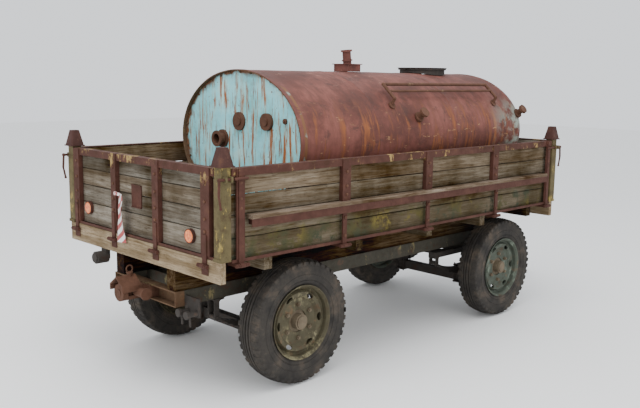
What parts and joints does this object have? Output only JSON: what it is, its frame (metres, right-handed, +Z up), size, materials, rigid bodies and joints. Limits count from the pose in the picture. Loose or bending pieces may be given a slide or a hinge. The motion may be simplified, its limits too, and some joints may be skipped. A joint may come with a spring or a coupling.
{
  "type": "tank trailer",
  "caption": "Old timber drop-side farm trailer with steered front axle, drawbar and rear coupling, carrying an oval steel liquid tank with manhole and filler.",
  "frame": {"origin": "on the ground, on the centreline, half-way between the rear coupling's rear edge and the towing eye's front edge", "axes": "+X to the drawbar, +Y to the left side, +Z up"},
  "size_m": [5.2846, 2.02, 2.41],
  "materials": {
    "timber": "weathered",
    "pale_timber": "sawn, weathered",
    "rusty_steel": "rusty paint",
    "dark_steel": "old paint, matt",
    "post_paint": "flaking paint",
    "tank_red": "rust and faded paint",
    "tank_turquoise": "faded paint with rust runs",
    "tyre_rubber": "dusty rubber",
    "wheel_olive": "flaking paint",
    "wheel_green": "faded paint",
    "hub_iron": "greasy and dusty",
    "lens": "gloss",
    "tape": "matt film",
    "leaf_spring_steel": "rusty"
  },
  "bodies": {
    "trailer_body": {"brake_couplings": "dark_steel", "chassis_beams": "dark_steel", "corner_posts": "post_paint", "coupling_body": "dark_steel", "cross_bearers": "timber", "end_sills": "pale_timber", "filler_box": "tank_red", "filler_pipe": "tank_red", "floor_planks": "timber", "front_frame": "rusty_steel", "front_planks": "timber", "handrail": "tank_red", "hinge_irons": "rusty_steel", "leaf_springs_rear": "leaf_spring_steel", "manhole_collar": "dark_steel", "outlet_pipe": "dark_steel", "post_caps": "rusty_steel", "rear_axle": "dark_steel", "rear_cross_channel": "dark_steel", "rim_hoop": "tank_red", "tail_lamp": "dark_steel", "tank_fittings": "tank_red", "tank_rear_head": "tank_turquoise", "tank_saddles": "timber", "tank_shell": "tank_red", "timber_stringers": "timber", "turntable_upper_ring": "dark_steel"},
    "side_board_right": {"side_planks_right": "timber", "side_frame_right": "rusty_steel", "rub_rail_right": "timber"},
    "side_board_left": {"side_planks_left": "timber", "side_frame_left": "rusty_steel", "rub_rail_left": "timber"},
    "gate": {"gate_planks": "timber", "gate_frame": "rusty_steel", "reflector_bezels": "rusty_steel", "reflector_lenses": "lens", "warning_tape": "tape"},
    "lid": {"manhole_lid": "dark_steel"},
    "bogie": {"turntable_frame": "dark_steel", "front_axle": "dark_steel", "leaf_springs_front": "leaf_spring_steel"},
    "towing_frame": {"drawbar": "dark_steel"},
    "hitch_pin": {"coupling_pin": "dark_steel"},
    "road_wheel_rear_right": {"tyre_rear_right": "tyre_rubber", "wheel_rear_right": "wheel_olive", "hub_rear_right": "hub_iron"},
    "latch_handle_rear_right": {"latch_rear_right": "rusty_steel"},
    "road_wheel_rear_left": {"tyre_rear_left": "tyre_rubber", "wheel_rear_left": "wheel_olive", "hub_rear_left": "hub_iron"},
    "latch_handle_rear_left": {"latch_rear_left": "rusty_steel"},
    "road_wheel_front_right": {"tyre_front_right": "tyre_rubber", "wheel_front_right": "wheel_green", "hub_front_right": "hub_iron"},
    "latch_handle_front_right": {"latch_front_right": "rusty_steel"},
    "road_wheel_front_left": {"tyre_front_left": "tyre_rubber", "wheel_front_left": "wheel_green", "hub_front_left": "hub_iron"},
    "latch_handle_front_left": {"latch_front_left": "rusty_steel"}
  },
  "joints": [
    {"name": "side_right_drop", "type": "hinge", "parent": "trailer_body", "child": "side_board_right", "pos_m": [0, -0.985, 1.005], "axis": [1, 0, 0], "range_deg": [0, 170]},
    {"name": "side_left_drop", "type": "hinge", "parent": "trailer_body", "child": "side_board_left", "pos_m": [0, 0.985, 1.005], "axis": [-1, 0, 0], "range_deg": [0, 170]},
    {"name": "rear_gate_drop", "type": "hinge", "parent": "trailer_body", "child": "gate", "pos_m": [-2.49238, 0, 0.994], "axis": [0, -1, 0], "range_deg": [0, 115]},
    {"name": "manhole_lid_open", "type": "hinge", "parent": "trailer_body", "child": "lid", "pos_m": [0.88762, 0, 2.26], "axis": [0, 1, 0], "range_deg": [0, 110]},
    {"name": "steer", "type": "hinge", "parent": "trailer_body", "child": "bogie", "pos_m": [0.89262, 0, 0.59], "axis": [0, 0, 1], "range_deg": [-22, 22]},
    {"name": "drawbar_lift", "type": "hinge", "parent": "bogie", "child": "towing_frame", "pos_m": [1.41262, 0, 0.48], "axis": [0, -1, 0], "range_deg": [0, 40]},
    {"name": "hitch_pin_lift", "type": "slide", "parent": "trailer_body", "child": "hitch_pin", "axis": [0, 0, 1], "range_m": [0, 0.06]},
    {"name": "wheel_rear_right_spin", "type": "hinge", "parent": "trailer_body", "child": "road_wheel_rear_right", "pos_m": [-1.64338, -0.73, 0.454], "axis": [0, 1, 0], "continuous": true},
    {"name": "wheel_rear_left_spin", "type": "hinge", "parent": "trailer_body", "child": "road_wheel_rear_left", "pos_m": [-1.64338, 0.73, 0.454], "axis": [0, 1, 0], "continuous": true},
    {"name": "wheel_front_right_spin", "type": "hinge", "parent": "bogie", "child": "road_wheel_front_right", "pos_m": [0.89262, -0.73, 0.454], "axis": [0, 1, 0], "continuous": true},
    {"name": "wheel_front_left_spin", "type": "hinge", "parent": "bogie", "child": "road_wheel_front_left", "pos_m": [0.89262, 0.73, 0.454], "axis": [0, 1, 0], "continuous": true},
    {"name": "latch_rear_right_turn", "type": "hinge", "parent": "trailer_body", "child": "latch_handle_rear_right", "pos_m": [-2.43238, -0.985, 1.553], "axis": [-1, 0, 0], "range_deg": [0, 100]},
    {"name": "latch_rear_left_turn", "type": "hinge", "parent": "trailer_body", "child": "latch_handle_rear_left", "pos_m": [-2.43238, 0.985, 1.553], "axis": [1, 0, 0], "range_deg": [0, 100]},
    {"name": "latch_front_right_turn", "type": "hinge", "parent": "trailer_body", "child": "latch_handle_front_right", "pos_m": [1.45162, -0.985, 1.553], "axis": [-1, 0, 0], "range_deg": [0, 100]},
    {"name": "latch_front_left_turn", "type": "hinge", "parent": "trailer_body", "child": "latch_handle_front_left", "pos_m": [1.45162, 0.985, 1.553], "axis": [1, 0, 0], "range_deg": [0, 100]}
  ]
}
